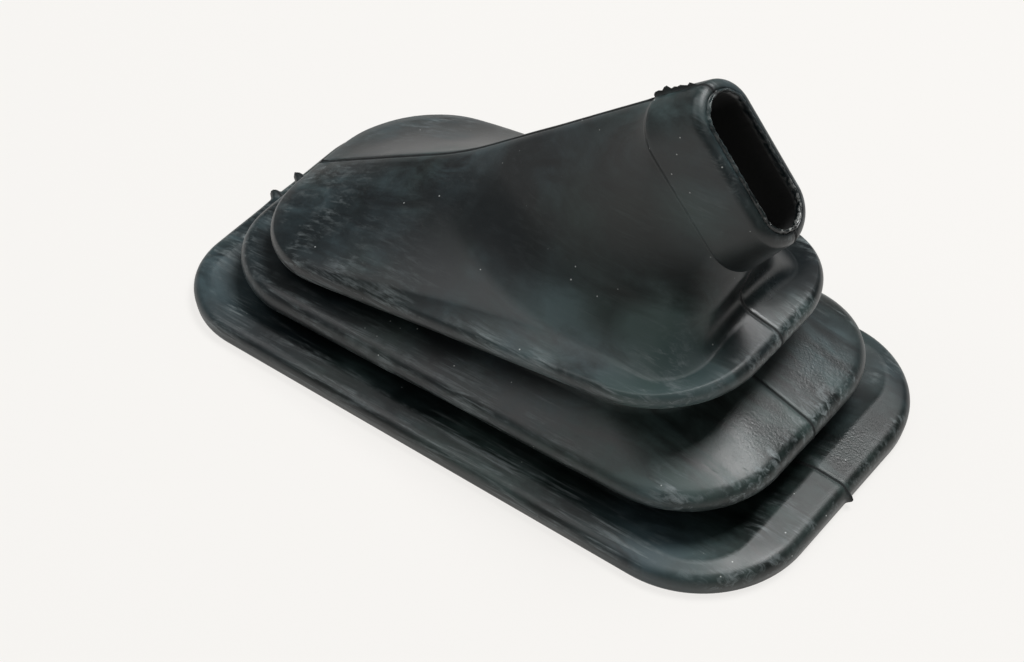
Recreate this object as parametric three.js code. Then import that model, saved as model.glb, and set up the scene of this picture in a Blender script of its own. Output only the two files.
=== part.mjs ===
// Handbrake boot: a moulded rubber gaiter for a hand lever, in one piece.
// A flat base flange carries a bellows of two folds. The folds lie close together at the back and
// open like a fan at the front. The upper fold grows into a raised spout, which ends in a thicker
// collar with a slot for the lever blade.
// Millimetres. X points to the front, where the lever comes out, Y to the left and Z up.
// The origin is the middle of the underside.

import * as THREE from "three";
import { ParametricGeometry } from "three/addons/geometries/ParametricGeometry.js";
import { mergeVertices } from "three/addons/utils/BufferGeometryUtils.js";

// Base flange: a solid ring with a rounded edge and a low crest inside it.
const BASE_LENGTH = 200;
const BASE_WIDTH = 108.4;
const BASE_CORNER = { front: 32, back: 27 };
const BASE_EDGE_ROLL = 3.4;
const BASE_EDGE_HEIGHT = 6.6;
const FOOT_DRAFT = 0.3;
const FOOT_ROLL = 0.8;
const CREST_HEIGHT = 7.3;
const CREST_INSET = { front: 10.5, back: 7.5, side: 7 };
const CREST_ROLL = 5;

// Growth of the half width per millimetre towards the front.
const BASE_SPLAY = 0.02;
const TOP_SPLAY = 0;

// Rubber thickness above the flange.
const WALL = 2.4;

// Middle fold: how far its edge lies inside the base edge, and how far its roll's middle rises
// above the crest.
const MIDDLE_STEP = { front: 12, back: 10.6, side: 8.7 };
const MIDDLE_RISE = { front: 12.1, back: 6.9 };
const MIDDLE_ROLL = 4.3;
const MIDDLE_CORNER = { front: 29, back: 29 };

// Top fold: how far its edge lies inside the middle fold's edge, and its rise above that fold.
const TOP_STEP = { front: 12.2, back: 8.3, side: 4.9 };
const TOP_RISE = { front: 26.2, back: 11.4 };
const TOP_ROLL = 3.6;
const TOP_CORNER = { front: 28.5, back: 30.5 };

// Grooves under the two folds: their depth inside the edge above, their rise above the crest or
// the fold below, and their inside radius.
const LOWER_GROOVE_DEPTH = { front: 13.4, back: 11.5, side: 9.9 };
const LOWER_GROOVE_RISE = { front: 1, back: 0.3 };
const LOWER_GROOVE_ROLL = { front: 3, back: 2, side: 2.4 };
const LOWER_GROOVE_CORNER = 24;
const UPPER_GROOVE_DEPTH = { front: 12.6, back: 10.9, side: 10 };
const UPPER_GROOVE_RISE = { front: 13.6, back: 6.4 };
const UPPER_GROOVE_ROLL = { front: 3, back: 1.7, side: 2.3 };
const UPPER_GROOVE_CORNER = 23;

// Spout: the slot's long side leans forward and down by this angle, in degrees.
const SPOUT_TILT = 50.3;
const SPOUT_SETBACK = 42.4; // from the top fold's front edge back to the collar's upper corner
const SPOUT_RISE = 60.6; // from the top fold's front edge up to that corner
const COLLAR_LENGTH = 18.6;
const COLLAR_LEAN = 0.05; // how far the collar's back drifts for each millimetre of its length
const COLLAR_STEP = 0.7;
const COLLAR_LONG = 50.9; // along the slot's long side, where the collar starts
const COLLAR_WIDE = 22.6;
const MOUTH_LONG = 45.6; // the same at its open end
const MOUTH_WIDE = 20.2;
const MOUTH_ROLL = 2.6;
const LIP_HEIGHT = 0.6;
const LIP_SLANT = 0.4;
const LIP_WIDTH = 1.1;

// Where the spout's surface bends between the top fold and the collar: inset from the top fold's
// edge, and rise above it. The neck's level is its share of the way up to the collar.
const NECK = { inset: 13.6, level: 0.464, roll: 5.2, corner: 10 };
const RIDGE_BEND = { inset: 54.3, rise: 32.7, roll: 150, corner: 90 };
const FLANK_BEND = { inset: 15.5, rise: 18, roll: 60 };

// Half the width of the flatter cap at a ring's end.
const CAP = 3;

// Facets: of the rolls, of the straight stretches between them, and round a ring.
const ROLL_FACETS = 6;
const EDGE_FACETS = 3;
const FLANGE_FACETS = 1;
const FOLD_FACETS = 2;
const FLANK_FACETS = 3;
const SPOUT_FACETS = 7;
const COLLAR_FACETS = 3;
const CORNER_FACETS = 8;
const SIDE_FACETS = 6;
const CAP_FACETS = 2;

const vec = (x, z) => new THREE.Vector2(x, z);
const rightOf = (angle) => vec(Math.sin(angle), -Math.cos(angle));
const mix = THREE.MathUtils.lerp;
const FULL_TURN = 2 * Math.PI;

// A roll that the profile goes round: outwards with a positive radius, inwards with a negative one.
// reach is the distance from the middle of the part to the roll's outermost or innermost line.
function roll(reach, height, radius, corner, facets = ROLL_FACETS) {
  return { centre: vec(reach - radius, height), radius, corner, splay: BASE_SPLAY, facets };
}

// The direction of the straight stretch that touches two rolls.
function heading(a, b) {
  const apart = b.centre.clone().sub(a.centre);
  return apart.angle() - Math.asin((b.radius - a.radius) / apart.length());
}

// A roll of large radius that rounds off a corner between two others, whichever way it turns.
function bend(before, corner, after, shape) {
  const sharp = { centre: corner, radius: 0 };
  const right = rightOf(heading(before, sharp));
  const rightAfter = rightOf(heading(sharp, after));
  const radius = right.cross(rightAfter) < 0 ? -shape.roll : shape.roll;
  const middle = right.clone().add(rightAfter).normalize();
  const centre = corner.clone().addScaledVector(middle, -radius / middle.dot(right));
  return { centre, radius, corner: shape.corner, steady: true, splay: 0, facets: ROLL_FACETS };
}

// Stations round one roll, from one direction to another: an outward roll turns the path to the
// left, an inward one to the right.
function stationsRound(each, from, to) {
  const left = THREE.MathUtils.euclideanModulo(to - from, FULL_TURN);
  const turn = each.radius > 0 || left === 0 ? left : left - FULL_TURN;
  return Array.from({ length: each.facets + 1 }, (_, k) => {
    const out = rightOf(from + (turn * k) / Math.max(each.facets, 1));
    const point = each.centre.clone().addScaledVector(out, each.radius);
    const growth = each.steady ? 0 : each.radius * (out.x - 1);
    return { point, corner: each.corner + growth, splay: each.splay };
  });
}

// Stations along a chain of rolls and the straight stretches between them, with the middle of the
// part on the left. The path sets off from the first roll in the direction given.
function follow(rolls, startAngle, straights) {
  const stations = [];
  let angle = startAngle;
  rolls.forEach((each, i) => {
    const leave = i + 1 < rolls.length ? heading(each, rolls[i + 1]) : angle;
    const round = stationsRound(each, angle, leave);
    const last = stations[stations.length - 1];
    for (let k = 1; last && k < straights[i - 1]; k++) {
      const share = k / straights[i - 1];
      stations.push({
        point: last.point.clone().lerp(round[0].point, share),
        corner: mix(last.corner, round[0].corner, share),
        splay: mix(last.splay, round[0].splay, share),
      });
    }
    stations.push(...round);
    angle = leave;
  });
  return stations;
}

// Reach of each edge and groove, from the middle of the part, on one of its sides.
function reaches(side) {
  const base = (side === "side" ? BASE_WIDTH : BASE_LENGTH) / 2;
  const middle = base - MIDDLE_STEP[side];
  const top = middle - TOP_STEP[side];
  const lowerGroove = middle - LOWER_GROOVE_DEPTH[side];
  const upperGroove = top - UPPER_GROOVE_DEPTH[side];
  return { base, middle, top, lowerGroove, upperGroove };
}

// Heights on one side; the long sides have the mean of the front and the back.
function heights(side) {
  const rise = (rises) => (side === "side" ? (rises.front + rises.back) / 2 : rises[side]);
  const middle = CREST_HEIGHT + rise(MIDDLE_RISE);
  const top = middle + rise(TOP_RISE);
  const lowerGroove = CREST_HEIGHT + rise(LOWER_GROOVE_RISE);
  const upperGroove = middle + rise(UPPER_GROOVE_RISE);
  return { middle, top, lowerGroove, upperGroove };
}

// The collar's frame in the middle plane: its axis, the slot's long way and its upper corner.
const tilt = THREE.MathUtils.degToRad(SPOUT_TILT);
const collarAxis = vec(Math.sin(tilt), Math.cos(tilt));
const slotWay = vec(Math.cos(tilt), -Math.sin(tilt));
const collarTop = vec(reaches("front").top - SPOUT_SETBACK, heights("front").top + SPOUT_RISE);

// A ring of the collar: along in millimetres from its start, inset measured in from its skin.
function collarRing(along, inset) {
  const share = along / COLLAR_LENGTH;
  const back = collarTop.clone().addScaledVector(collarAxis, along);
  back.addScaledVector(slotWay, COLLAR_LEAN * along);
  const front = back.clone().addScaledVector(slotWay, mix(COLLAR_LONG, MOUTH_LONG, share) - inset);
  back.addScaledVector(slotWay, inset);
  const halfWidth = mix(COLLAR_WIDE, MOUTH_WIDE, share) / 2 - inset;
  return { front, back, halfWidth, lift: 0, splay: 0, frontCorner: halfWidth, backCorner: halfWidth };
}

// Where the spout meets the collar on one side, as the last point of that side's chain of rolls.
function spoutEnd(side) {
  const { front, back, halfWidth, frontCorner } = collarRing(0, COLLAR_STEP);
  const places = {
    front,
    back: vec(-back.x, back.y),
    side: vec(halfWidth, (front.y + back.y) / 2),
  };
  return { centre: places[side], radius: 0, corner: frontCorner, splay: 0, facets: 0 };
}

// The turn between the top fold and the collar on one side.
function spoutTurn(side, top, end) {
  const reach = reaches(side).top;
  const height = heights(side).top;
  if (side === "front") {
    const neckHeight = mix(height, end.centre.y, NECK.level);
    return roll(reach - NECK.inset, neckHeight, -NECK.roll, NECK.corner);
  }
  const shape = side === "back" ? RIDGE_BEND : FLANK_BEND;
  return bend(top, vec(reach - shape.inset, height + shape.rise), end, shape);
}

// The rolls on one side, from the lower groove up to the start of the collar.
function bellowsRolls(side) {
  const at = reaches(side);
  const up = heights(side);
  const groove = (name, radii, corner) => roll(at[name], up[name], -radii[side], corner);
  const lowerGroove = groove("lowerGroove", LOWER_GROOVE_ROLL, LOWER_GROOVE_CORNER);
  const middle = roll(at.middle, up.middle, MIDDLE_ROLL, MIDDLE_CORNER[side]);
  const upperGroove = groove("upperGroove", UPPER_GROOVE_ROLL, UPPER_GROOVE_CORNER);
  const top = roll(at.top, up.top, TOP_ROLL, TOP_CORNER[side]);
  top.splay = TOP_SPLAY;
  const end = spoutEnd(side);
  return [lowerGroove, middle, upperGroove, top, spoutTurn(side, top, end), end];
}

const BELLOWS_STRAIGHTS = [FOLD_FACETS, FOLD_FACETS, FOLD_FACETS, FLANK_FACETS, SPOUT_FACETS];
const FLANGE_STRAIGHTS = [FLANGE_FACETS, FLANGE_FACETS, FLANGE_FACETS];

// The outer skin on one side, from the underside's edge up to the collar.
function outerSide(side) {
  const { base } = reaches(side);
  const corner = BASE_CORNER[side];
  const foot = roll(base - FOOT_DRAFT, FOOT_ROLL, FOOT_ROLL, corner, EDGE_FACETS - 1);
  const edgeHeight = BASE_EDGE_HEIGHT - BASE_EDGE_ROLL;
  const edge = roll(base, edgeHeight, BASE_EDGE_ROLL, corner, EDGE_FACETS);
  const crest = {
    centre: vec(base - CREST_INSET[side], CREST_HEIGHT - CREST_ROLL),
    radius: CREST_ROLL,
    corner: corner - CREST_INSET[side],
    splay: BASE_SPLAY,
    facets: EDGE_FACETS,
  };
  const rolls = [foot, edge, crest, ...bellowsRolls(side)];
  return follow(rolls, 0, [...FLANGE_STRAIGHTS, ...BELLOWS_STRAIGHTS]);
}

// The inner skin on one side: the same rolls, with the rubber's thickness taken off their radius.
function innerSide(side) {
  const rolls = bellowsRolls(side).map((each) => ({
    ...each,
    radius: each.radius - WALL,
    corner: each.corner - WALL,
  }));
  const opening = vec(reaches(side).lowerGroove - WALL, 0);
  const start = { ...rolls[0], centre: opening, radius: 0, facets: 0 };
  return follow([start, ...rolls], Math.PI / 2, [FLANGE_FACETS, ...BELLOWS_STRAIGHTS]);
}

// Rings from the matching stations of the front, the back and the long sides.
function ringsOf(sideMaker) {
  const [fronts, backs, sides] = ["front", "back", "side"].map(sideMaker);
  return fronts.map((front, i) => {
    const back = backs[i];
    const side = sides[i];
    return {
      front: front.point,
      back: vec(-back.point.x, back.point.y),
      halfWidth: side.point.x,
      lift: side.point.y - (front.point.y + back.point.y) / 2,
      splay: front.splay,
      frontCorner: front.corner,
      backCorner: back.corner,
    };
  });
}

// The collar from its step to the mouth, over the lip and down the slot.
function collarRings() {
  const rings = [collarRing(COLLAR_STEP / 2, 0)];
  const straight = COLLAR_LENGTH - MOUTH_ROLL;
  for (let k = 1; k < COLLAR_FACETS; k++) rings.push(collarRing((straight * k) / COLLAR_FACETS, 0));
  for (let k = 0; k <= EDGE_FACETS; k++) {
    const turn = ((Math.PI / 2) * k) / EDGE_FACETS;
    rings.push(collarRing(straight + MOUTH_ROLL * Math.sin(turn), MOUTH_ROLL * (1 - Math.cos(turn))));
  }
  const lipTop = COLLAR_LENGTH + LIP_HEIGHT;
  rings.push(collarRing(lipTop, MOUTH_ROLL + LIP_SLANT));
  rings.push(collarRing(lipTop, MOUTH_ROLL + LIP_WIDTH));
  rings.push(collarRing(straight, MOUTH_ROLL + LIP_WIDTH));
  return rings;
}

// One end of a ring, from the middle plane out to its long side: a flatter cap that crosses the
// middle plane at a right angle, then a corner curve that runs into the long side. Each point has
// its distance from the end's tip and its distance from the middle plane.
function endCurve(halfWidth, radius) {
  const cap = Math.max(halfWidth - radius, CAP);
  const sweep = Math.acos(1 - (halfWidth - cap) / radius);
  const bow = Math.cos(sweep) / cap;
  const sag = (v) => (v * v * bow) / (1 + Math.sqrt(1 - (v * bow) ** 2));
  const points = [];
  for (let k = 0; k < CAP_FACETS; k++) {
    const v = (cap * k) / CAP_FACETS;
    points.push({ u: sag(v), v });
  }
  for (let k = 0; k <= CORNER_FACETS; k++) {
    const turn = sweep * (1 - k / CORNER_FACETS);
    const u = sag(cap) + radius * (Math.sin(sweep) - Math.sin(turn));
    points.push({ u, v: halfWidth - radius * (1 - Math.cos(turn)) });
  }
  return points;
}

// Half a ring, from the front tip to the back one, as distances along and across the ring's plane.
function halfOutline(length, ring) {
  const front = endCurve(ring.halfWidth, ring.frontCorner);
  const back = endCurve(ring.halfWidth, ring.backCorner);
  const from = length - front[front.length - 1].u;
  const to = back[back.length - 1].u;
  const points = front.map(({ u, v }) => ({ u: length - u, v }));
  for (let k = 1; k < SIDE_FACETS; k++) {
    points.push({ u: mix(from, to, k / SIDE_FACETS), v: ring.halfWidth });
  }
  return [...points, ...back.reverse()];
}

// The points of a ring in space, left half first.
function ringPoints(ring) {
  const along = ring.front.clone().sub(ring.back);
  const length = along.length();
  along.normalize();
  const half = halfOutline(length, ring).map(({ u, v }) => {
    const share = v / ring.halfWidth;
    const x = ring.back.x + along.x * u;
    const z = ring.back.y + along.y * u + ring.lift * share ** 2;
    return new THREE.Vector3(x, v + ring.splay * x * share, z);
  });
  const mirrored = half.slice(1, -1).reverse();
  return [...half, ...mirrored.map((p) => new THREE.Vector3(p.x, -p.y, p.z))];
}

// A closed skin over a loop of rings: it meets itself both along the rings and round them.
function skinOver(rings) {
  const loops = rings.map(ringPoints);
  const around = loops[0].length;
  const place = (u, v, target) => {
    const loop = loops[Math.round(v * loops.length) % loops.length];
    target.copy(loop[Math.round(u * around) % around]);
  };
  const sheet = new ParametricGeometry(place, around, loops.length);
  sheet.deleteAttribute("normal");
  sheet.deleteAttribute("uv");
  const skin = mergeVertices(sheet);
  skin.computeVertexNormals();
  return skin;
}

const inner = ringsOf(innerSide).slice(0, -1).reverse();
const rings = [...ringsOf(outerSide), ...collarRings(), ...inner];
const rubber = new THREE.MeshStandardMaterial({ color: 0x15191a, roughness: 0.5, metalness: 0 });
const boot = new THREE.Mesh(skinOver(rings), rubber);
boot.name = "boot";

const handbrakeBoot = new THREE.Group();
handbrakeBoot.name = "handbrake_boot";
handbrakeBoot.add(boot);
export default handbrakeBoot;
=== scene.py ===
import math

import bpy
import numpy as np
from mathutils import Matrix, Vector, noise


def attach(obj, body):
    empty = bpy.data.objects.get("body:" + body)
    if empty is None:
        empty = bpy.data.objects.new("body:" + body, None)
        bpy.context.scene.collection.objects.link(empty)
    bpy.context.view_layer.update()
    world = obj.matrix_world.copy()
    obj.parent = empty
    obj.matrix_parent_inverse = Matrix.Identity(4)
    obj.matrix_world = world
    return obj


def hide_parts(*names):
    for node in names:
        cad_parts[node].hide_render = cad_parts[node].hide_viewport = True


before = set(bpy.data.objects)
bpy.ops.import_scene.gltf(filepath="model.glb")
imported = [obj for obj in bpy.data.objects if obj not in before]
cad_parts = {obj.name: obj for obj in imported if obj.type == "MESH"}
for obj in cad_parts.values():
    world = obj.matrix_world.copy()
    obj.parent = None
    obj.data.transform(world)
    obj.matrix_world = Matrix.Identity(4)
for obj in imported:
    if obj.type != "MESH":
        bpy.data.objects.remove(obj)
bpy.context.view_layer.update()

METRES, TINY = 0.001, 1e-9

# The flange, the two folds, the spout and the collar, as in the solid model.
BASE_LENGTH, BASE_WIDTH = 200, 108.4
BASE_CORNER = {"front": 32, "back": 27}
BASE_EDGE_ROLL, BASE_EDGE_HEIGHT = 3.4, 6.6
FOOT_DRAFT, FOOT_ROLL = 0.3, 0.8
CREST_HEIGHT, CREST_ROLL = 7.3, 5
CREST_INSET = {"front": 10.5, "back": 7.5, "side": 7}
BASE_SPLAY, TOP_SPLAY = 0.02, 0
WALL = 2.4
MIDDLE_STEP = {"front": 12, "back": 10.6, "side": 8.7}
MIDDLE_RISE = {"front": 12.1, "back": 6.9}
MIDDLE_ROLL = 4.3
MIDDLE_CORNER = {"front": 29, "back": 29}
TOP_STEP = {"front": 12.2, "back": 8.3, "side": 4.9}
TOP_RISE = {"front": 26.2, "back": 11.4}
TOP_ROLL = 3.6
TOP_CORNER = {"front": 28.5, "back": 30.5}
LOWER_GROOVE_DEPTH = {"front": 13.4, "back": 11.5, "side": 9.9}
LOWER_GROOVE_RISE = {"front": 1, "back": 0.3}
LOWER_GROOVE_ROLL = {"front": 3, "back": 2, "side": 2.4}
LOWER_GROOVE_CORNER = 24
UPPER_GROOVE_DEPTH = {"front": 12.6, "back": 10.9, "side": 10}
UPPER_GROOVE_RISE = {"front": 13.6, "back": 6.4}
UPPER_GROOVE_ROLL = {"front": 3, "back": 1.7, "side": 2.3}
UPPER_GROOVE_CORNER = 23
SPOUT_TILT, SPOUT_SETBACK, SPOUT_RISE = 50.3, 42.4, 60.6
COLLAR_LENGTH, COLLAR_LEAN, COLLAR_STEP = 18.6, 0.05, 0.7
COLLAR_LONG, COLLAR_WIDE = 50.9, 22.6
MOUTH_LONG, MOUTH_WIDE = 45.6, 20.2
MOUTH_ROLL = 2.6
NECK = {"inset": 13.6, "level": 0.464, "roll": 5.2, "corner": 10}
RIDGE_BEND = {"inset": 54.3, "rise": 32.7, "roll": 150, "corner": 90}
FLANK_BEND = {"inset": 15.5, "rise": 18, "roll": 60}
CAP = 3

# How finely the skin is cut: round the rolls, along the straights between them, and round each ring.
ROLL_FACETS, EDGE_FACETS = 14, 8
STRAIGHTS = [8, 12, 10, 16, 34]
CORNER_FACETS, SIDE_FACETS = 26, 40
CAP_SAMPLES = [0, 0.16, 0.34, 0.56, 0.85, 1.3, 2.1]
CAP_FACETS = 5
BASE_STRAIGHTS, INNER_STRAIGHTS = [3, 8], [3, 3, 3, 3, 6, 12]
FOOT_FACETS, INNER_FACETS = 5, 8
COLLAR_FACETS, MOUTH_FACETS = 14, 10

# The collar's step: how far along it each ring lies, its inset, and how much of a bead it is.
COLLAR_START = ((0.05, 0.385, 0), (0.14, 0.14, 0.4), (0.32, 0.05, 0.6), (0.6, 0, 0.3))
# The torn lip: each ring's height over the collar's end, its inset past the roll, and its roughness.
LIP_RINGS = ((-0.22, 0.1, 0.3), (-0.2, 0.22, 0.5), (0.25, 0.34, 1), (0.6, 0.5, 1), (0.68, 0.7, 1),
             (0.48, 0.95, 1), (0.1, 1.1, 1), (-0.8, 1.15, 0.6), (-2, 1.1, 0.3), (-5, 1.1, 0),
             (-9, 1.1, 0), (-13, 1.1, 0), (-17, 1.1, 0))
# More than this depth down into the mouth, the lip is painted near black as painted shade.
MOUTH_BEAD, TORN_LIP, PAINTED_SHADE_DEPTH = 0.5, 0.5, 1

# Unevenness: each layer's height, how often it waves in a millimetre, and where it starts in the noise.
SKIN_LAYERS = ((0.22, 0.028, 0), (0.05, 0.11, 5))
LIP_LAYERS = ((0.26, 0.8, 11), (0.12, 2.4, 3))
FLAT_FOOT, SEAM_FOOT = 1.5, 0.7
COLLAR_SOFTNESS = 0.35

# The seam where the mould halves met, with a ditch beside it.
SEAM_RISE, SEAM_WIDTH, SEAM_MARK = 0.2, 0.2, 0.5
DITCH_DEPTH, DITCH_WIDTH, DITCH_GAP = 0.15, 0.2, 0.28
SEAM_COLUMNS = 9
# The seam's own unevenness: its level, then each wave's share, seed and how often it comes in a millimetre.
SEAM_LEVEL, SEAM_WAVES = 0.75, ((0.5, 3, 0.25), (0.35, 5, 1.1))
FRONT_SLOPE, SEED_STEP = 1.7, (7.31, 1.7)
# The ragged flash on the collar's back: its width, its end, and its two high places.
FLASH_WIDTH, FLASH_END, FLASH_FADE = 0.34, 15.4, 2
FLASH_HEIGHT, FLASH_RAGGED, FLASH_WAVE = 0.75, 0.9, (9, 0.8)
FLASH_PEAKS = ((0.8, 4.5, 2.4), (0.5, 12.6, 1.4))
# The ridge's flash grows from here to the collar.
RIDGE_FLASH_START, RIDGE_FLASH_LENGTH = 25, 8
RIDGE_FLASH_HEIGHT, RIDGE_FLASH_WAVE = 0.42, (2, 0.9)
# Torn nubs on the back's seam: x, z, height, reach along the seam, and spread across it.
NUBS = ((-99.2, 5.5, 2.1, 1.7, 1), (-89.2, 17.4, 3.2, 1.9, 1), (-78.5, 28.6, 0.8, 1.2, 0),
        (-71.4, 32.6, 0.6, 0.8, 0))
# The stub on the front edge: its height, its level, its reach and its spread.
STUB_HEIGHT, STUB_LEVEL, STUB_REACH, STUB_SPREAD = 1.7, 2.6, 1.5, 0.5
MARKS = ("bead", "lip", "seam", "inside")


def vec(x, z):
    return np.array([x, z], float)


def right_of(angle):
    """The way that lies to the right of a heading."""
    return vec(math.sin(angle), -math.cos(angle))


def mix(a, b, share):
    return a + (b - a) * share


def roll(reach, height, radius, corner, facets=ROLL_FACETS, bead=0, splay=BASE_SPLAY):
    """An arc of a side's profile: it reaches out this far, and a negative radius turns the other way."""
    centre = vec(reach - radius, height)
    return dict(centre=centre, radius=radius, corner=corner, splay=splay, facets=facets, bead=bead)


def heading(a, b):
    """The heading of the straight that leaves one roll and touches the next."""
    apart = b["centre"] - a["centre"]
    length = math.hypot(*apart)
    return math.atan2(apart[1], apart[0]) - math.asin((b["radius"] - a["radius"]) / length)


def bend(before, corner, after, shape):
    """The roll that rounds a sharp corner between two others."""
    sharp = dict(centre=corner, radius=0)
    right = right_of(heading(before, sharp))
    middle = right + right_of(heading(sharp, after))
    middle /= np.linalg.norm(middle)
    centre = corner + middle * shape["roll"] / float(middle @ right)
    return dict(centre=centre, radius=-shape["roll"], corner=shape.get("corner", 0), steady=True,
                splay=0, facets=ROLL_FACETS, bead=0)


def stations_round(each, start, end):
    """The points of a profile round one roll, from one heading to another."""
    left = (end - start) % (2 * math.pi)
    turn = left if each["radius"] > 0 or left == 0 else left - 2 * math.pi
    out = []
    for k in range(each["facets"] + 1):
        way = right_of(start + turn * k / max(each["facets"], 1))
        growth = 0 if each.get("steady") else each["radius"] * (way[0] - 1)
        out.append(dict(point=each["centre"] + way * each["radius"], corner=each["corner"] + growth,
                        splay=each["splay"], bead=each["bead"]))
    return out


def follow(rolls, start_angle, straights):
    """A side's profile: round each roll, and along the straight to the next."""
    stations = []
    angle = start_angle
    for i, each in enumerate(rolls):
        leave = heading(each, rolls[i + 1]) if i + 1 < len(rolls) else angle
        rounded = stations_round(each, angle, leave)
        if stations:
            last, first = stations[-1], rounded[0]
            for k in range(1, straights[i - 1]):
                share = k / straights[i - 1]
                between = {key: mix(last[key], first[key], share) for key in last}
                between["bead"] = last["bead"] * (1 - share) ** 3 + first["bead"] * share ** 3
                stations.append(between)
        stations += rounded
        angle = leave
    return stations


def reaches(side):
    """How far each part of the bellows reaches from the middle on one side."""
    base = (BASE_WIDTH if side == "side" else BASE_LENGTH) / 2
    middle = base - MIDDLE_STEP[side]
    top = middle - TOP_STEP[side]
    return dict(base=base, middle=middle, top=top, lower=middle - LOWER_GROOVE_DEPTH[side],
                upper=top - UPPER_GROOVE_DEPTH[side])


def heights(side):
    """How high the folds and grooves lie on one side. The long sides lie midway between the ends."""
    def rise(rises):
        return (rises["front"] + rises["back"]) / 2 if side == "side" else rises[side]

    middle = CREST_HEIGHT + rise(MIDDLE_RISE)
    return dict(middle=middle, top=middle + rise(TOP_RISE),
                lower=CREST_HEIGHT + rise(LOWER_GROOVE_RISE), upper=middle + rise(UPPER_GROOVE_RISE))


TILT = math.radians(SPOUT_TILT)
COLLAR_AXIS = vec(math.sin(TILT), math.cos(TILT))
SLOT_WAY = vec(math.cos(TILT), -math.sin(TILT))
COLLAR_TOP = vec(reaches("front")["top"] - SPOUT_SETBACK, heights("front")["top"] + SPOUT_RISE)


def collar_ring(along, inset, **marks):
    """A ring across the collar, this far along it and this far inside its face."""
    share = along / COLLAR_LENGTH
    back = COLLAR_TOP + COLLAR_AXIS * along + SLOT_WAY * (COLLAR_LEAN * along)
    front = back + SLOT_WAY * (mix(COLLAR_LONG, MOUTH_LONG, share) - inset)
    half = mix(COLLAR_WIDE, MOUTH_WIDE, share) / 2 - inset
    ring = dict(front=front, back=back + SLOT_WAY * inset, half=half, lift=0, splay=0,
                front_corner=half, back_corner=half, bead=0, lip=0, skin="collar", along=along)
    ring.update(marks)
    return ring


def spout_end(side):
    start = collar_ring(0, COLLAR_STEP)
    middle = (start["front"][1] + start["back"][1]) / 2
    places = dict(front=start["front"], back=start["back"] * vec(-1, 1), side=vec(start["half"], middle))
    return dict(centre=places[side], radius=0, corner=start["front_corner"], splay=0, facets=0, bead=0)


def spout_turn(side, top, end):
    """The roll between the top fold and the spout."""
    reach, height = reaches(side)["top"], heights(side)["top"]
    if side == "front":
        neck_height = mix(height, end["centre"][1], NECK["level"])
        return roll(reach - NECK["inset"], neck_height, -NECK["roll"], NECK["corner"], splay=0)
    shape = RIDGE_BEND if side == "back" else FLANK_BEND
    return bend(top, vec(reach - shape["inset"], height + shape["rise"]), end, shape)


def bellows_rolls(side):
    at, up = reaches(side), heights(side)
    lower = roll(at["lower"], up["lower"], -LOWER_GROOVE_ROLL[side], LOWER_GROOVE_CORNER)
    middle = roll(at["middle"], up["middle"], MIDDLE_ROLL, MIDDLE_CORNER.get(side, 0), bead=1)
    upper = roll(at["upper"], up["upper"], -UPPER_GROOVE_ROLL[side], UPPER_GROOVE_CORNER)
    top = roll(at["top"], up["top"], TOP_ROLL, TOP_CORNER.get(side, 0), bead=1, splay=TOP_SPLAY)
    end = spout_end(side)
    return [lower, middle, upper, top, spout_turn(side, top, end), end]


def outer_side(side):
    base = reaches(side)["base"]
    corner = BASE_CORNER.get(side, 0)
    foot = roll(base - FOOT_DRAFT, FOOT_ROLL, FOOT_ROLL, corner, FOOT_FACETS)
    edge = roll(base, BASE_EDGE_HEIGHT - BASE_EDGE_ROLL, BASE_EDGE_ROLL, corner, EDGE_FACETS, 1)
    crest = dict(centre=vec(base - CREST_INSET[side], CREST_HEIGHT - CREST_ROLL), radius=CREST_ROLL,
                 corner=corner - CREST_INSET[side], splay=BASE_SPLAY, facets=EDGE_FACETS, bead=1)
    return follow([foot, edge, crest] + bellows_rolls(side), 0, BASE_STRAIGHTS + STRAIGHTS[:1] + STRAIGHTS)


def inner_side(side):
    rolls = [dict(each, radius=each["radius"] - WALL, corner=each["corner"] - WALL, bead=0,
                  facets=min(each["facets"], INNER_FACETS)) for each in bellows_rolls(side)]
    start = dict(rolls[0], centre=vec(reaches(side)["lower"] - WALL, 0), radius=0, facets=0)
    return follow([start] + rolls, math.pi / 2, INNER_STRAIGHTS)


def rings_of(side_maker, skin):
    """Rings round the bellows, each from a matching point of the front, back and side profiles."""
    fronts, backs, sides = (side_maker(side) for side in ("front", "back", "side"))
    rings = []
    for front, back, side in zip(fronts, backs, sides):
        lift = side["point"][1] - (front["point"][1] + back["point"][1]) / 2
        rings.append(dict(front=front["point"], back=back["point"] * vec(-1, 1), half=side["point"][0],
                          lift=lift, splay=front["splay"], front_corner=front["corner"],
                          back_corner=back["corner"], bead=front["bead"], lip=0, skin=skin))
    return rings


def collar_rings():
    rings = [collar_ring(along, inset, bead=bead) for along, inset, bead in COLLAR_START]
    start, stop = COLLAR_START[-1][0], COLLAR_LENGTH - MOUTH_ROLL
    rings += [collar_ring(mix(start, stop, k / COLLAR_FACETS), 0) for k in range(1, COLLAR_FACETS)]
    for k in range(MOUTH_FACETS + 1):
        turn = math.pi / 2 * k / MOUTH_FACETS
        along, inset = stop + MOUTH_ROLL * math.sin(turn), MOUTH_ROLL * (1 - math.cos(turn))
        rings.append(collar_ring(along, inset, bead=MOUTH_BEAD * math.sin(2 * turn)))
    for rise, step, lip in LIP_RINGS:
        rings.append(collar_ring(COLLAR_LENGTH + rise, MOUTH_ROLL + step, lip=lip, skin="lip"))
    return rings


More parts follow.
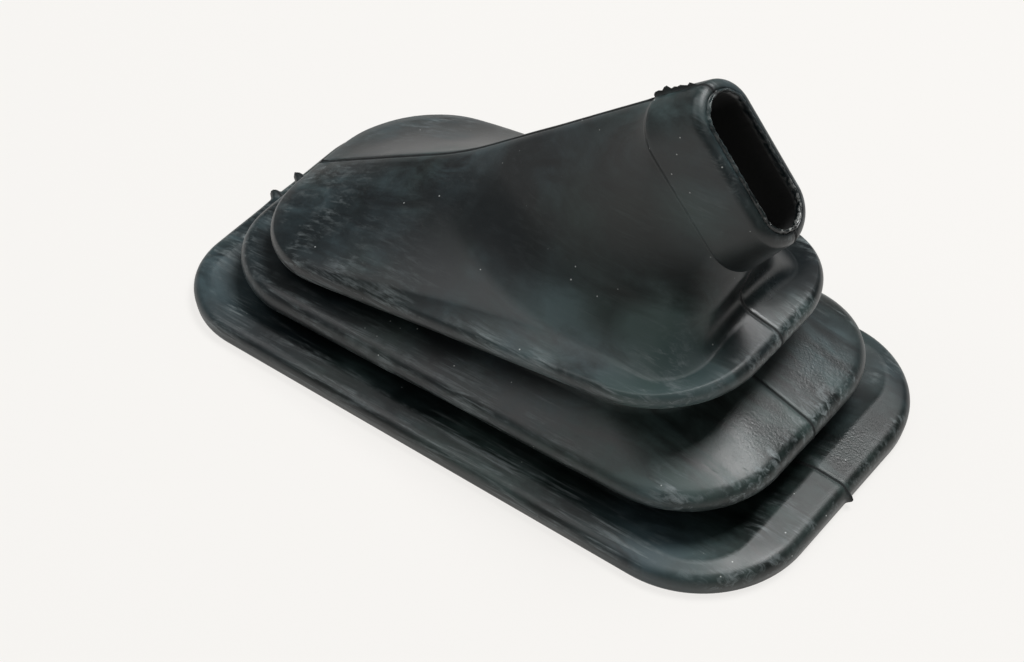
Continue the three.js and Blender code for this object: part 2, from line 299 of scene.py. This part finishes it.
def end_curve(half, radius):
    """Half of a ring's end as (inset, offset) points: a slightly bowed end, then the rounded corner."""
    cap = max(half - radius, CAP)
    sweep = math.acos(1 - (half - cap) / radius)
    bow = math.cos(sweep) / cap

    def sag(v):
        return v * v * bow / (1 + math.sqrt(max(0.0, 1 - (v * bow) ** 2)))

    places = list(CAP_SAMPLES)
    places += [mix(CAP_SAMPLES[-1], cap, k / CAP_FACETS) for k in range(1, CAP_FACETS)]
    points = [(sag(v), v) for v in places]
    for k in range(CORNER_FACETS + 1):
        turn = sweep * (1 - k / CORNER_FACETS)
        u = sag(cap) + radius * (math.sin(sweep) - math.sin(turn))
        points.append((u, half - radius * (1 - math.cos(turn))))
    return points


def ring_points(ring):
    """The ring's points in space, once round from the middle of its front."""
    along = ring["front"] - ring["back"]
    length = np.linalg.norm(along)
    along = along / length
    front = end_curve(ring["half"], ring["front_corner"])
    back = end_curve(ring["half"], ring["back_corner"])
    start, stop = length - front[-1][0], back[-1][0]
    half = [(length - u, v) for u, v in front]
    half += [(mix(start, stop, k / SIDE_FACETS), ring["half"]) for k in range(1, SIDE_FACETS)]
    half += back[::-1]
    points = []
    for u, v in half:
        share = v / ring["half"]
        x = ring["back"][0] + along[0] * u
        z = ring["back"][1] + along[1] * u + ring["lift"] * share ** 2
        points.append((x, v + ring["splay"] * x * share, z))
    return points + [(x, -y, z) for x, y, z in points[-2:0:-1]]


def grid_normals(grid):
    a = np.roll(grid, -1, 0) - np.roll(grid, 1, 0)
    b = np.roll(grid, -1, 1) - np.roll(grid, 1, 1)
    normals = np.cross(b, a)
    return normals / np.maximum(np.linalg.norm(normals, axis=2, keepdims=True), TINY)


def wander(x, seed, often):
    """Smooth noise along a line, another for each seed."""
    return noise.noise(Vector((x * often, seed * SEED_STEP[0], seed * SEED_STEP[1])))


def bump_at(x, where, width):
    return math.exp(-((x - where) / width) ** 2)


def layered(p, layers):
    return sum(height * noise.noise(Vector(p * often + start)) for height, often, start in layers)


def unevenness(ring, p):
    """How far the skin stands off its true place at a point."""
    softness = 1 if ring["skin"] == "outer" else COLLAR_SOFTNESS
    off = softness * layered(p, SKIN_LAYERS) if p[2] > FLAT_FOOT else 0
    if ring["lip"]:
        off += ring["lip"] * layered(p, LIP_LAYERS)
    return off


def back_flash(ring, p):
    """How high and how wide the torn rubber stands on the back's seam."""
    if ring["skin"] == "collar" and ring["along"] < FLASH_END:
        along = ring["along"]
        height = FLASH_HEIGHT + FLASH_RAGGED * wander(along, *FLASH_WAVE)
        height += sum(peak * bump_at(along, place, reach) for peak, place, reach in FLASH_PEAKS)
        return height * min(1, (FLASH_END - along) / FLASH_FADE), FLASH_WIDTH
    tall, wide = 0, SEAM_WIDTH
    if ring["skin"] == "outer":
        growth = max(0, (p[0] - RIDGE_FLASH_START) / RIDGE_FLASH_LENGTH)
        tall = RIDGE_FLASH_HEIGHT * growth * (1 + wander(p[0], *RIDGE_FLASH_WAVE))
        for x, z, height, reach, spread in NUBS:
            lump = height * math.exp(-(math.hypot(p[0] - x, p[2] - z) / reach) ** 4)
            tall = max(tall, lump)
            wide = max(wide, SEAM_WIDTH + spread * min(1, lump))
    return tall, wide


def front_stub(ring, p):
    """How high and how wide the stub stands on the front edge."""
    if ring["skin"] != "outer":
        return 0, SEAM_WIDTH
    tall = STUB_HEIGHT * bump_at(p[2], STUB_LEVEL, STUB_REACH)
    return tall, SEAM_WIDTH + STUB_SPREAD * min(1, tall)


def has_seam(ring):
    return ring["skin"] in ("outer", "collar") or (ring["skin"] == "lip" and ring["lip"] >= TORN_LIP)


# The inner skin and the mouth deeper than a millimetre are marked for painted shade.
def in_painted_shade(ring):
    return ring["skin"] == "inner" or (ring["skin"] == "lip" and ring["along"] < COLLAR_LENGTH - PAINTED_SHADE_DEPTH)


def seam_across(ring, p, at_back, apart):
    """The seam's height over the skin, at each distance from the middle plane."""
    where = p[0] if at_back else p[2] * FRONT_SLOPE + p[0]
    waves = sum(share * wander(where, seed, often) for share, seed, often in SEAM_WAVES)
    height = SEAM_RISE * (SEAM_LEVEL + waves)
    tall, wide = back_flash(ring, p) if at_back else front_stub(ring, p)
    crest = max(height, tall) * np.exp(-(apart / wide) ** 2)
    return crest - DITCH_DEPTH * np.exp(-((apart - wide - DITCH_GAP) / DITCH_WIDTH) ** 2)


def detail(rings, grid):
    """How far each point of the grid is moved along its normal, and its marks for the material."""
    count, around = grid.shape[:2]
    shift = np.zeros((count, around))
    marks = {name: np.zeros((count, around)) for name in MARKS}
    near_seam = np.arange(-SEAM_COLUMNS, SEAM_COLUMNS + 1)
    for i, ring in enumerate(rings):
        marks["bead"][i], marks["lip"][i], marks["inside"][i] = ring["bead"], ring["lip"], in_painted_shade(ring)
        shift[i] = [unevenness(ring, p) for p in grid[i]]
        for end in (0, around // 2):
            if not has_seam(ring) or grid[i, end, 2] < SEAM_FOOT:
                continue
            columns = (end + near_seam) % around
            apart = np.abs(grid[i, columns, 1])
            shift[i, columns] += seam_across(ring, grid[i, end], end > 0, apart)
            marks["seam"][i, columns] = np.exp(-(apart / SEAM_MARK) ** 2)
    return shift, marks


def grid_faces(count, around):
    index = np.arange(count * around).reshape(count, around)
    up, on = np.roll(index, -1, 0), np.roll(index, -1, 1)
    return np.stack([index, on, np.roll(up, -1, 1), up], axis=2).reshape(-1, 4)


def link(thing):
    bpy.context.scene.collection.objects.link(thing)
    return thing


def make_boot():
    inner = rings_of(inner_side, "inner")[:-1][::-1]
    rings = rings_of(outer_side, "outer") + collar_rings() + inner
    grid = np.array([ring_points(ring) for ring in rings])
    shift, marks = detail(rings, grid)
    placed = (grid + grid_normals(grid) * shift[..., None]) * METRES
    placed[..., 2] = np.maximum(placed[..., 2], 0)
    mesh = bpy.data.meshes.new("boot_skin")
    mesh.from_pydata(placed.reshape(-1, 3).tolist(), [], grid_faces(*grid.shape[:2]).tolist())
    for name, values in marks.items():
        layer = mesh.attributes.new(name, "FLOAT", "POINT")
        layer.data.foreach_set("value", values.reshape(-1).astype(np.float32))
    mesh.shade_smooth()
    mesh.validate()
    return link(bpy.data.objects.new("boot_skin", mesh))


class Nodes:
    def __init__(self, material):
        material.use_nodes = True
        self.tree = material.node_tree
        self.tree.nodes.clear()

    def add(self, kind, inputs=None, **settings):
        node = self.tree.nodes.new(kind)
        for key, value in settings.items():
            setattr(node, key, value)
        for key, value in (inputs or {}).items():
            socket = node.inputs[key]
            if isinstance(value, bpy.types.NodeSocket):
                self.tree.links.new(value, socket)
            else:
                socket.default_value = value
        return node

    def math(self, operation, a, b=0.0, clamp=False):
        return self.add("ShaderNodeMath", {0: a, 1: b}, operation=operation, use_clamp=clamp).outputs[0]

    def noise(self, where, layer):
        scale, detail, rough, distort = layer
        return self.add("ShaderNodeTexNoise", {"Vector": where, "Scale": scale, "Detail": detail,
                                               "Roughness": rough, "Distortion": distort}).outputs["Fac"]

    def along(self, where, run):
        """The place, turned and stretched the way that marks run."""
        turn, stretch = run
        node = self.add("ShaderNodeMapping", {"Vector": where, "Rotation": turn, "Scale": stretch})
        return node.outputs[0]

    def ramp(self, value, low, high, start=0.0, stop=1.0):
        return self.add("ShaderNodeMapRange", {"Value": value, "From Min": low, "From Max": high,
                                               "To Min": start, "To Max": stop}).outputs["Result"]

    def product(self, *values):
        total = values[0]
        for value in values[1:]:
            total = self.math("MULTIPLY", total, value)
        return total

    def total(self, start, *parts):
        """A value and the weighted values added to it."""
        for value, weight in parts:
            start = self.math("ADD", start, self.math("MULTIPLY", value, weight))
        return start

    def blend(self, share, a, b):
        node = self.add("ShaderNodeMix", data_type="RGBA", blend_type="MIX")
        for socket, value in ((node.inputs[0], share), (node.inputs[6], a), (node.inputs[7], b)):
            if isinstance(value, bpy.types.NodeSocket):
                self.tree.links.new(value, socket)
            else:
                socket.default_value = value
        return node.outputs[2]

    def attribute(self, name):
        return self.add("ShaderNodeAttribute", attribute_name=name).outputs["Fac"]

    def near(self, where, place, radius):
        """1 at a place, falling to 0 at the radius."""
        apart = self.add("ShaderNodeVectorMath", {0: where, 1: place}, operation="DISTANCE").outputs["Value"]
        return self.add("ShaderNodeMapRange", {"Value": apart, "From Min": radius, "From Max": 0.0},
                        interpolation_type="SMOOTHSTEP").outputs["Result"]

    def patches(self, where, places):
        """Soft round patches, the strongest of which counts."""
        strongest = 0.0
        for place, radius, strength in places:
            patch = self.math("MULTIPLY", self.near(where, place, radius), strength)
            strongest = self.math("MAXIMUM", strongest, patch)
        return strongest


# Places on the skin, each with its middle and reach in metres and its strength.
# Worn patches. The first and strongest, on the front rim's near corner, is a painted light patch over some
# real scuffing.
WORN_AND_PAINTED_LIGHT = (((0.0585, -0.029, 0.049), 0.024, 2.2), ((0.028, -0.034, 0.044), 0.026, 0.6),
        ((-0.085, -0.045, 0.007), 0.030, 0.5), ((0.055, -0.011, 0.088), 0.018, 0.6),
        ((0.079, 0.052, 0.007), 0.022, 0.5), ((0.070, -0.046, 0.006), 0.030, 0.4))
SCUFFED = (((-0.055, -0.022, 0.037), 0.014, 0.25), ((-0.057, -0.013, 0.038), 0.010, 0.2),
           ((0.0585, -0.029, 0.048), 0.016, 0.9), ((-0.002, -0.0445, 0.018), 0.022, 0.7),
           ((0.022, -0.044, 0.018), 0.020, 0.7), ((-0.067, -0.046, 0.007), 0.018, 0.7),
           ((0.086, 0.046, 0.007), 0.016, 0.8), ((0.066, -0.050, 0.007), 0.028, 0.5),
           ((0.0575, -0.010, 0.086), 0.010, 0.6))
LIP_END = (((0.0735, 0.0, 0.085), 0.016, 1.0),)
GLOSSY = (((0.080, -0.012, 0.026), 0.034, 1.0), ((0.067, 0.010, 0.054), 0.030, 1.0))
LEATHERY = (((0.0785, 0.018, 0.0257), 0.018, 1.0), ((0.079, -0.010, 0.026), 0.026, 0.3),
            ((0.091, 0.012, 0.007), 0.014, 0.7))

# The rubber's noises, each with its scale per metre, detail, roughness and distortion.
CLOUDS = (22, 4, 0.55, 0.4)
SMEARS = (34, 5, 0.62, 0.9)
MOTTLES = (170, 5, 0.68, 0)
HUES = (17, 3, 0.5, 0.6)
STREAKS = (42, 6, 0.7, 0.6)
RUBS = (55, 5, 0.65, 0)
CRUMBS = (620, 4, 0.7, 0)
GRAIN = (1500, 3, 0.6, 0)
PORES = (330, 3, 0.55, 0)
SCRATCHES = (60, 5, 0.7, 0.3)
CREASES = (850, 1, 0.5, 0)
LUMPS = (700, 4, 0.65, 0)
DUST_SCALE, NOISE_MIDDLE = 230, 0.5

# How marks run: the turn in radians, and the stretch.
SMEAR_RUN = ((0.1, -0.5, 0.35), (1, 3.5, 2))
STREAK_RUN = ((0, 0, 0.05), (1, 14, 14))
SCRATCH_RUN = ((0.2, 0.3, 0.4), (1, 22, 22))

# Where a noise or mask starts to count and where it ends, and what it gives there if not 0 and 1.
BLOOM_CLOUDS, BLOOM_SMEARS, BLOOM_MOTTLES = (0.38, 0.62), (0.36, 0.64), (0.36, 0.62, 0.6, 1.2)
# The bloom's growth on what faces up is painted light from above.
PAINTED_TOP_LIGHT, WORN_AND_LIGHT_SMEARS = (-0.3, 0.9, 0.25, 1), (0.3, 0.6, 0.4, 1.3)
BLUE_TO_GREEN = (0.4, 0.6)
SCUFF_STREAKS, SCUFF_RUBS, SCUFF_BEADS = (0.48, 0.66), (0.42, 0.6), (0, 1, 0.05, 1)
SPECK_EDGE, SPECK_CHOICE = (0.03, 0.06, 1, 0), (0.54, 0.58)
CRUMB_CHOICE, CRUMB_PLACE = (0.5, 0.6), (0, 1, 0.16, 0.9)
SATIN, SCRATCH_CHOICE = (0.3, 0.75, 0.36, 0.46), (0.62, 0.72)

# The bloom greys are partly real bloom and partly painted light on up-facing faces and on the front rim's
# light patch.
BLUE_GREY, GREEN_GREY = (0.036, 0.060, 0.068, 1), (0.034, 0.058, 0.054, 1)
BLUE_BLACK, GREEN_BLACK = (0.0030, 0.0058, 0.0072, 1), (0.0026, 0.0060, 0.0052, 1)
SCUFF_COLOUR, SCUFF_COVER = (0.18, 0.21, 0.215, 1), 0.85
DUST_COLOUR, DUST_COVER = (0.48, 0.50, 0.49, 1), 0.9
CRUMB_COLOUR = (0.3, 0.31, 0.3, 1)
SEAM_COLOUR, SEAM_COVER = (0.002, 0.0025, 0.003, 1), 0.9
# Painted shade for the inside of the bellows and the mouth.
PAINTED_SHADE_COLOUR = (0.002, 0.0025, 0.0025, 1)

# What each mask adds to the roughness, and each texture to the relief.
DULL_BLOOM, DULL_GLOSS, DULL_SCUFF, DULL_LIP, DULL_HIDDEN = 0.1, -0.11, 0.15, -0.12, 0.45
HIGH_GRAIN, HIGH_PORES, HIGH_CREASES, HIGH_SCRATCHES, HIGH_LUMPS = 0.25, 0.5, -6.5, -0.35, 3
RELIEF_HEIGHT, RELIEF_STRENGTH = 0.00012, 0.35
RUBBER_IOR = 1.5


def rubber_bloom_and_painted_light(n, where, clouds):
    """A thin bloom, cloudy and in soft handling smears, made thickest on what faces up as painted light from
    above, with worn patches and a painted light patch added.
    """
    normal = n.add("ShaderNodeNewGeometry").outputs["Normal"]
    upward = n.add("ShaderNodeSeparateXYZ", {0: normal}).outputs["Z"]
    smears = n.noise(n.along(where, SMEAR_RUN), SMEARS)
    # Painted light from above: the upward ramp thickens the bloom on faces that turn up.
    bloom_and_painted_light = n.product(n.ramp(clouds, *BLOOM_CLOUDS), n.ramp(smears, *BLOOM_SMEARS),
                      n.ramp(n.noise(where, MOTTLES), *BLOOM_MOTTLES), n.ramp(upward, *PAINTED_TOP_LIGHT))
    # Worn patches, with a painted light patch on the front rim's near corner.
    worn_and_painted_light = n.product(n.patches(where, WORN_AND_PAINTED_LIGHT), n.ramp(smears, *WORN_AND_LIGHT_SMEARS))
    return n.math("ADD", bloom_and_painted_light, worn_and_painted_light, clamp=True)


def rubber_scuffs(n, where, bead):
    """Brushed strokes along the beads, and in the places where the boot was rubbed."""
    streaks = n.noise(n.along(where, STREAK_RUN), STREAKS)
    rubbed = n.math("ADD", n.ramp(bead, *SCUFF_BEADS), n.patches(where, SCUFFED), clamp=True)
    strokes = n.product(n.ramp(streaks, *SCUFF_STREAKS), n.ramp(n.noise(where, RUBS), *SCUFF_RUBS))
    return n.math("MULTIPLY", strokes, rubbed, clamp=True)


def rubber_dust(n, where):
    cells = n.add("ShaderNodeTexVoronoi", {"Vector": where, "Scale": DUST_SCALE})
    speck = n.ramp(cells.outputs["Distance"], *SPECK_EDGE)
    choice = n.add("ShaderNodeSeparateColor", {0: cells.outputs["Color"]}).outputs[0]
    return n.math("MULTIPLY", speck, n.ramp(choice, *SPECK_CHOICE), clamp=True)


def rubber_crumbs(n, where, lip):
    """Pale crumbs on the torn lip, most of them at its lower end."""
    crumbs = n.math("MULTIPLY", lip, n.ramp(n.noise(where, CRUMBS), *CRUMB_CHOICE), clamp=True)
    return n.product(crumbs, n.ramp(n.patches(where, LIP_END), *CRUMB_PLACE))


def rubber_relief(n, where, lip):
    """A fine moulded grain, shallow scratches, leathery creases at the front, and the lip's lumps."""
    scratches = n.ramp(n.noise(n.along(where, SCRATCH_RUN), SCRATCHES), *SCRATCH_CHOICE)
    creases = n.math("ABSOLUTE", n.math("SUBTRACT", n.noise(where, CREASES), NOISE_MIDDLE))
    relief = n.total(0.0, (n.noise(where, GRAIN), HIGH_GRAIN), (n.noise(where, PORES), HIGH_PORES),
                     (n.product(creases, n.patches(where, LEATHERY)), HIGH_CREASES),
                     (scratches, HIGH_SCRATCHES), (n.product(n.noise(where, LUMPS), lip), HIGH_LUMPS))
    bump = n.add("ShaderNodeBump", {"Strength": RELIEF_STRENGTH, "Distance": RELIEF_HEIGHT,
                                    "Height": relief})
    return bump.outputs[0]


def rubber():
    material = bpy.data.materials.new("black_rubber")
    n = Nodes(material)
    where = n.add("ShaderNodeTexCoord").outputs["Object"]
    bead, lip, seam, inside = (n.attribute(name) for name in MARKS)
    clouds = n.noise(where, CLOUDS)
    bloom_and_painted_light, scuffs = rubber_bloom_and_painted_light(n, where, clouds), rubber_scuffs(n, where, bead)

    hue = n.ramp(n.noise(where, HUES), *BLUE_TO_GREEN)
    # The bloom greys over the black: real bloom, plus painted light on up-facing faces and the front rim
    # patch.
    colour = n.blend(bloom_and_painted_light, n.blend(hue, BLUE_BLACK, GREEN_BLACK), n.blend(hue, BLUE_GREY, GREEN_GREY))
    colour = n.blend(n.product(scuffs, SCUFF_COVER), colour, SCUFF_COLOUR)
    colour = n.blend(n.product(rubber_dust(n, where), DUST_COVER), colour, DUST_COLOUR)
    colour = n.blend(rubber_crumbs(n, where, lip), colour, CRUMB_COLOUR)
    colour = n.blend(n.product(seam, SEAM_COVER), colour, SEAM_COLOUR)
    # Painted shade: the inside is painted near black.
    colour = n.blend(inside, colour, PAINTED_SHADE_COLOUR)

    hidden = n.math("MAXIMUM", inside, seam)
    rough = n.total(n.ramp(clouds, *SATIN), (bloom_and_painted_light, DULL_BLOOM), (n.patches(where, GLOSSY), DULL_GLOSS),
                    (scuffs, DULL_SCUFF), (lip, DULL_LIP), (hidden, DULL_HIDDEN))
    shader = n.add("ShaderNodeBsdfPrincipled", {"Base Color": colour, "Roughness": rough,
                                                "Normal": rubber_relief(n, where, lip),
                                                "IOR": RUBBER_IOR, "Metallic": 0.0})
    n.add("ShaderNodeOutputMaterial", {"Surface": shader.outputs[0]})
    return material


# The studio, in metres and watts.
PAPER = (0.922, 0.905, 0.880, 1)
FLOOR_COLOUR = (0.8, 0.79, 0.77, 1)
FLOOR_GLOW = 0.86
FLOOR_HALF, FLOOR_LEVEL = 6, -0.0002
WORLD_STRENGTH = 0.07
LAMP_TARGET = (0, 0, 0.04)
# Each softbox: its name, place, size and power.
SOFTBOXES = (("top_softbox", (0.14, 0.40, 1.08), (0.54, 0.42), 14),
             ("near_top_softbox", (-0.5, -0.36, 1.0), (0.9, 0.7), 4.2),
             ("near_softbox", (-0.6, -0.8, 0.75), (1.0, 0.5), 0.6),
             ("right_softbox", (0.9, -0.3, 0.85), (0.6, 0.5), 0.9),
             ("far_softbox", (-0.1, 1.1, 0.75), (1.2, 0.6), 0.8))

# The photograph's camera: its angles in degrees, its place, and its focal length in pixels.
CAMERA_AZIMUTH, CAMERA_ELEVATION = 36.78, 43.77
CAMERA_PLACE = (0.294446, -0.408812, 0.488886)
FOCAL_PIXELS, PHOTO_WIDTH, SENSOR_WIDTH = 2479.83, 1024, 36


def floor_material():
    """Matt grey for the shadow's light, and paper white to the camera and in reflections."""
    material = bpy.data.materials.new("pale_floor")
    n = Nodes(material)
    path = n.add("ShaderNodeLightPath").outputs
    seen = n.math("MAXIMUM", path["Is Camera Ray"], path["Is Glossy Ray"])
    seen = n.math("MAXIMUM", seen, path["Is Transmission Ray"])
    matt = n.add("ShaderNodeBsdfDiffuse", {"Color": FLOOR_COLOUR})
    glow = n.add("ShaderNodeEmission", {"Color": PAPER, "Strength": 1.0})
    share = n.math("MULTIPLY", seen, FLOOR_GLOW)
    both = n.add("ShaderNodeMixShader", {0: share, 1: matt.outputs[0], 2: glow.outputs[0]})
    n.add("ShaderNodeOutputMaterial", {"Surface": both.outputs[0]})
    return material


def pale_floor():
    mesh = bpy.data.meshes.new("studio_floor")
    corners = ((-1, -1), (1, -1), (1, 1), (-1, 1))
    points = [(x * FLOOR_HALF, y * FLOOR_HALF, FLOOR_LEVEL) for x, y in corners]
    mesh.from_pydata(points, [], [(0, 1, 2, 3)])
    mesh.materials.append(floor_material())
    floor = link(bpy.data.objects.new("studio_floor", mesh))


def lamp(name, place, size, watts):
    light = bpy.data.lights.new(name, "AREA")
    light.shape = "RECTANGLE"
    light.size, light.size_y = size
    light.energy = watts
    softbox = link(bpy.data.objects.new(name, light))
    softbox.location = place
    aim = Vector(LAMP_TARGET) - Vector(place)
    softbox.rotation_euler = aim.to_track_quat("-Z", "Y").to_euler()


def studio():
    pale_floor()
    for softbox in SOFTBOXES:
        lamp(*softbox)
    world = bpy.data.worlds.new("studio_world")
    bpy.context.scene.world = world
    n = Nodes(world)
    plain = n.add("ShaderNodeBackground", {"Color": PAPER, "Strength": WORLD_STRENGTH})
    n.add("ShaderNodeOutputWorld", {"Surface": plain.outputs[0]})


def camera():
    azimuth, elevation = math.radians(CAMERA_AZIMUTH), math.radians(CAMERA_ELEVATION)
    back = Vector((math.sin(azimuth) * math.cos(elevation), -math.cos(azimuth) * math.cos(elevation),
                   math.sin(elevation)))
    right = Vector((math.cos(azimuth), math.sin(azimuth), 0))
    turn = Matrix((right, back.cross(right), back)).transposed()
    data = bpy.data.cameras.new("photo_camera")
    data.sensor_width = SENSOR_WIDTH
    data.lens = FOCAL_PIXELS * SENSOR_WIDTH / PHOTO_WIDTH
    view = link(bpy.data.objects.new("photo_camera", data))
    view.matrix_world = Matrix.Translation(Vector(CAMERA_PLACE)) @ turn.to_4x4()
    bpy.context.scene.camera = view


boot = make_boot()
boot.data.materials.append(rubber())
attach(boot, "root")
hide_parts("boot")
studio()
camera()
bpy.context.scene.view_settings.view_transform = "Standard"
